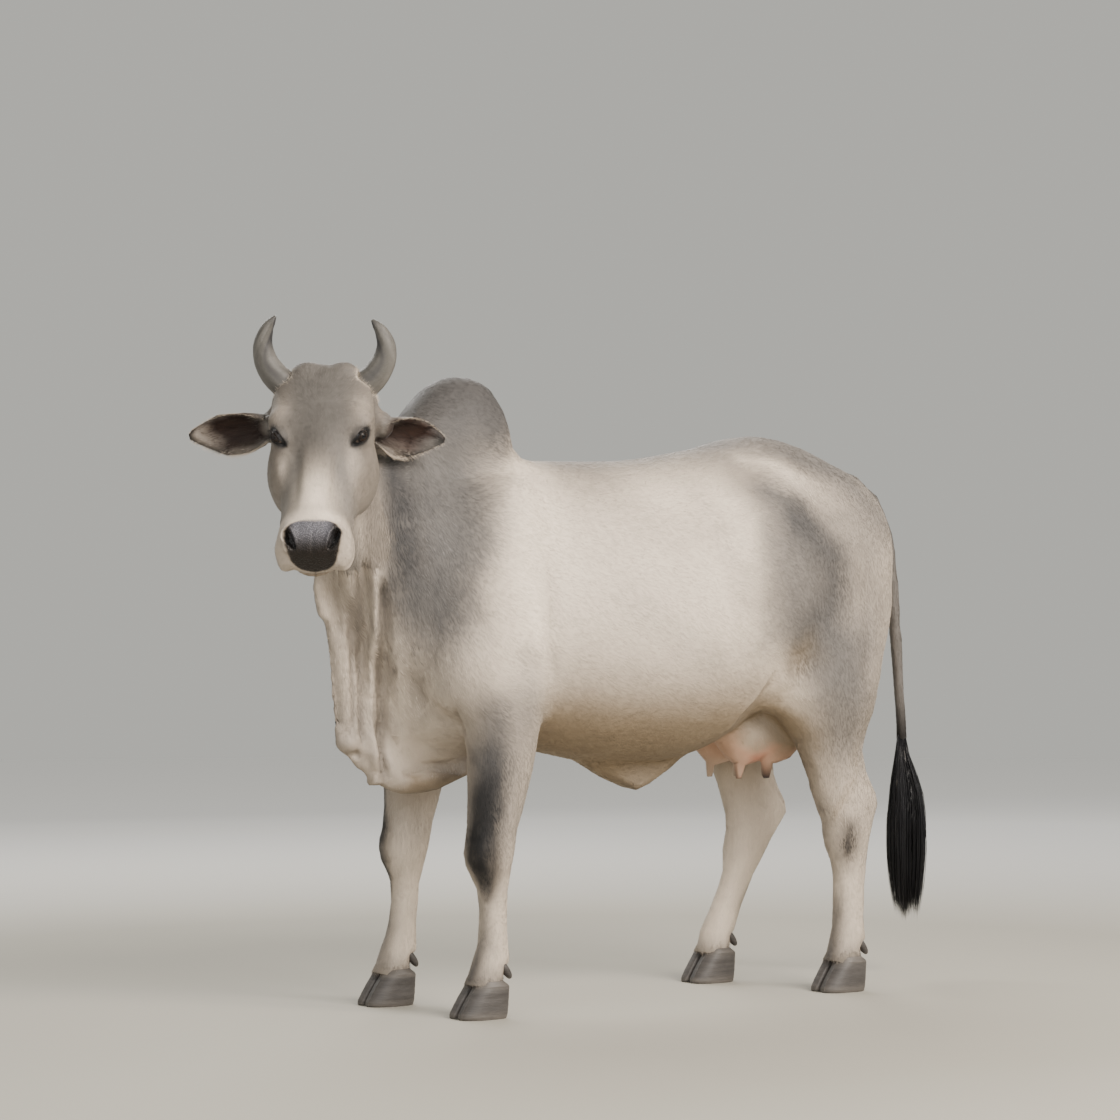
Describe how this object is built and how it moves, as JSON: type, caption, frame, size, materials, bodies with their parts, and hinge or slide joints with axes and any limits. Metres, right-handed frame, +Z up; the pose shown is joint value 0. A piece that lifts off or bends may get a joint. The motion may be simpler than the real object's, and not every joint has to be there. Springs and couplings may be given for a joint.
{
  "type": "zebu cow",
  "caption": "Life-size standing humped zebu dairy cow with horns, dewlap, udder and tufted tail, its head turned to its left.",
  "frame": {"origin": "on the floor, under the middle of the box that holds the whole cow", "axes": "the cow faces -X, its left side is towards -Y, and +Z is up from the soles of its claws"},
  "size_m": [1.9966, 0.6822, 1.5529],
  "materials": {
    "hide": "short matt coat, pale grey",
    "udder_skin": "bare skin, satin",
    "horn": "keratin, satin",
    "claw": "keratin, satin",
    "eye": "wet, glossy",
    "tail_hair": "long glossy hair"
  },
  "bodies": {
    "root": {"dewlap": "hide", "ear_left": "hide", "ear_right": "hide", "eye_left": "eye", "eye_right": "eye", "foreleg_left_claw_a": "claw", "foreleg_left_claw_b": "claw", "foreleg_left_dewclaw_a": "claw", "foreleg_left_dewclaw_b": "claw", "foreleg_left_lower": "hide", "foreleg_left_upper": "hide", "foreleg_right_claw_a": "claw", "foreleg_right_claw_b": "claw", "foreleg_right_dewclaw_a": "claw", "foreleg_right_dewclaw_b": "claw", "foreleg_right_lower": "hide", "foreleg_right_upper": "hide", "head": "hide", "hindleg_left_claw_a": "claw", "hindleg_left_claw_b": "claw", "hindleg_left_dewclaw_a": "claw", "hindleg_left_dewclaw_b": "claw", "hindleg_left_lower": "hide", "hindleg_left_upper": "hide", "hindleg_right_claw_a": "claw", "hindleg_right_claw_b": "claw", "hindleg_right_dewclaw_a": "claw", "hindleg_right_dewclaw_b": "claw", "hindleg_right_lower": "hide", "hindleg_right_upper": "hide", "horn_left": "horn", "horn_right": "horn", "hump": "hide", "neck": "hide", "tail": "hide", "tail_switch": "tail_hair", "torso": "hide", "udder": "udder_skin"}
  },
  "joints": []
}
